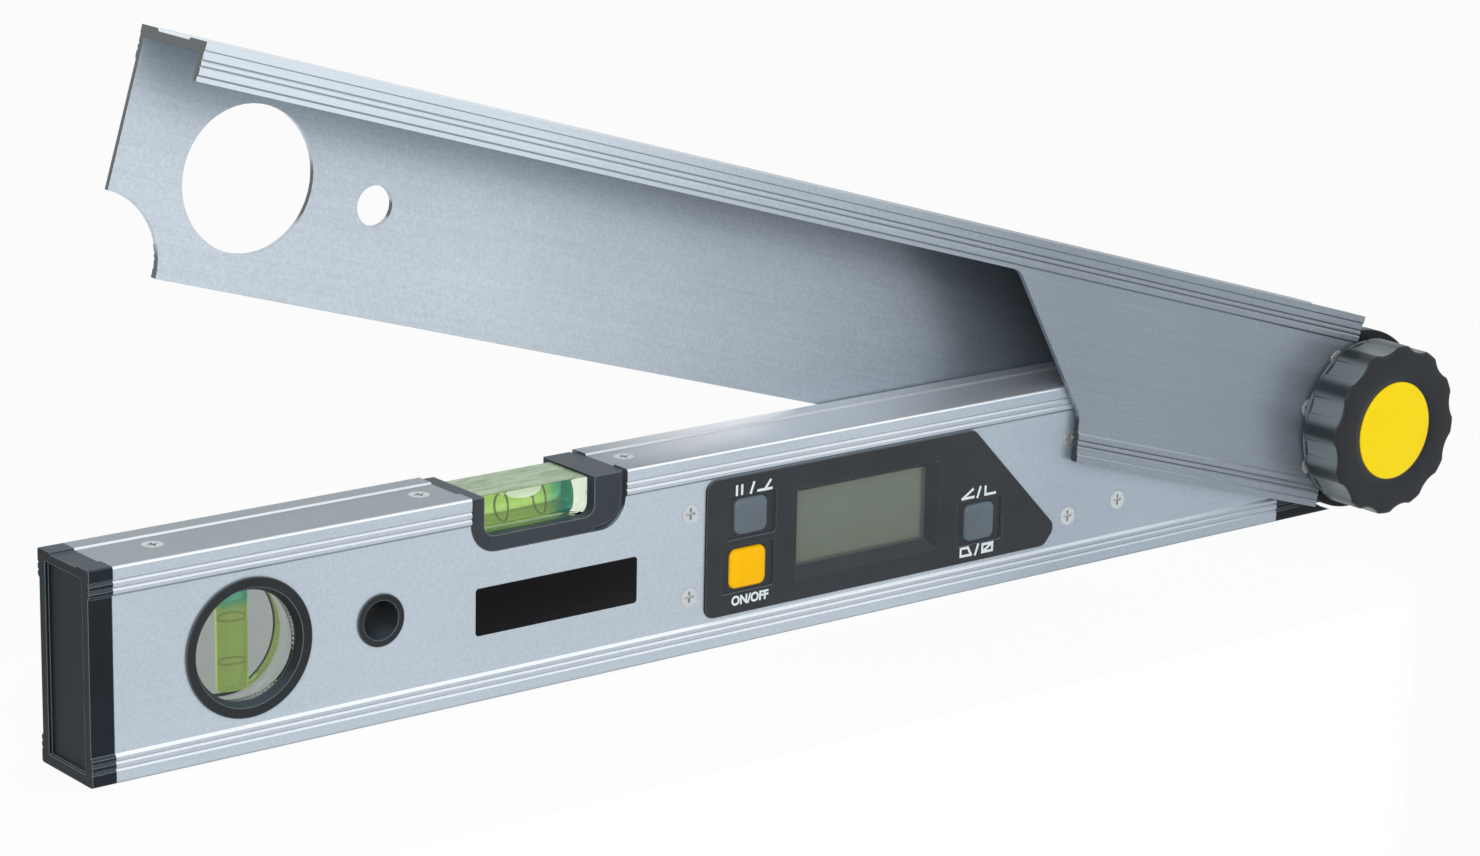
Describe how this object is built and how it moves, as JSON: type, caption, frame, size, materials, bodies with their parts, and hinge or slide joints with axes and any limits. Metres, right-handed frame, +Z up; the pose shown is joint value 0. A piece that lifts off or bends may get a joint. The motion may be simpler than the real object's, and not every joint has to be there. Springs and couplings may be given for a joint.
{
  "type": "digital angle finder",
  "caption": "Digital angle finder with a level body, a folding channel arm, two spirit vials, a display with buttons and a lobed locking knob.",
  "frame": {"origin": "centre of the body extrusion's flat measuring base", "axes": "+X along the body towards the pivot, +Y away from the display side, +Z up from the base"},
  "size_m": [0.473, 0.045, 0.1828],
  "materials": {
    "anodised_aluminium": "satin silver anodised",
    "arm_aluminium": "satin grey anodised",
    "black_plastic": "fine satin",
    "knob_plastic": "satin",
    "grey_plastic": "satin",
    "yellow_plastic": "semi-gloss",
    "clear_acrylic": "clear polished",
    "vial_fluid": "tinted liquid",
    "ring_ink": "matte",
    "screen_window": "clear",
    "screen_panel": "satin",
    "circuit_board": "solder mask",
    "switch_metal": "plated",
    "cell_steel": "plain sleeve",
    "zinc_steel": "zinc plated",
    "ribbon_film": "polyimide film",
    "washer_polymer": "natural",
    "brass": "turned"
  },
  "bodies": {
    "body": {"body_profile": "anodised_aluminium", "end_cap": "black_plastic", "body_hub": "black_plastic", "plumb_bezel_front": "black_plastic", "plumb_bezel_rear": "black_plastic", "plumb_vial_block": "clear_acrylic", "plumb_vial_fluid": "vial_fluid", "plumb_vial_rings": "ring_ink", "hang_grommet": "black_plastic", "level_vial_cradle": "black_plastic", "level_vial_block": "clear_acrylic", "level_vial_fluid": "vial_fluid", "level_vial_rings": "ring_ink", "display_bezel": "black_plastic", "display_housing": "black_plastic", "lcd_window": "screen_window", "lcd_panel": "screen_panel", "circuit_board": "circuit_board", "tact_switches": "switch_metal", "battery_tray": "black_plastic", "battery_cells": "cell_steel", "battery_contacts": "switch_metal", "battery_cover": "black_plastic", "battery_cover_screw": "zinc_steel", "face_screws": "zinc_steel", "top_screws": "zinc_steel", "angle_sensor_stator": "circuit_board", "sensor_ribbon": "ribbon_film", "pivot_bush": "zinc_steel"},
    "arm": {"arm_profile": "arm_aluminium", "arm_cheek_near": "black_plastic", "arm_cheek_far": "black_plastic", "cheek_screws": "zinc_steel", "angle_sensor_rotor": "circuit_board", "friction_washers": "washer_polymer", "pivot_bolt": "zinc_steel", "hub_cap_far": "black_plastic"},
    "knob_slider": {"thrust_washer": "zinc_steel"},
    "knob": {"lock_knob": "knob_plastic", "knob_disc": "yellow_plastic", "knob_insert": "brass"},
    "hold_key": {"button_hold": "grey_plastic"},
    "power_key": {"button_power": "yellow_plastic"},
    "mode_key": {"button_mode": "grey_plastic"}
  },
  "joints": [
    {"name": "arm_swing", "type": "hinge", "parent": "body", "child": "arm", "pos_m": [0.23525, 0, 0.028], "axis": [0, 1, 0], "range_deg": [-16.5, 203.5]},
    {"name": "knob_travel", "type": "slide", "parent": "arm", "child": "knob_slider", "axis": [0, -1, 0], "range_m": [0, 0.0005]},
    {"name": "knob_turn", "type": "hinge", "parent": "knob_slider", "child": "knob", "pos_m": [0.23525, 0, 0.028], "axis": [0, -1, 0], "range_deg": [0, 180]},
    {"name": "hold_press", "type": "slide", "parent": "body", "child": "hold_key", "axis": [0, 1, 0], "range_m": [0, 0.0008], "stiffness_N_per_m": 1500, "springref_m": -0.0004},
    {"name": "power_press", "type": "slide", "parent": "body", "child": "power_key", "axis": [0, 1, 0], "range_m": [0, 0.0008], "stiffness_N_per_m": 1500, "springref_m": -0.0004},
    {"name": "mode_press", "type": "slide", "parent": "body", "child": "mode_key", "axis": [0, 1, 0], "range_m": [0, 0.0008], "stiffness_N_per_m": 1500, "springref_m": -0.0004}
  ],
  "couplings": [
    {"joint": "knob_turn", "follows": "knob_travel", "rad_per_m": 6283}
  ]
}
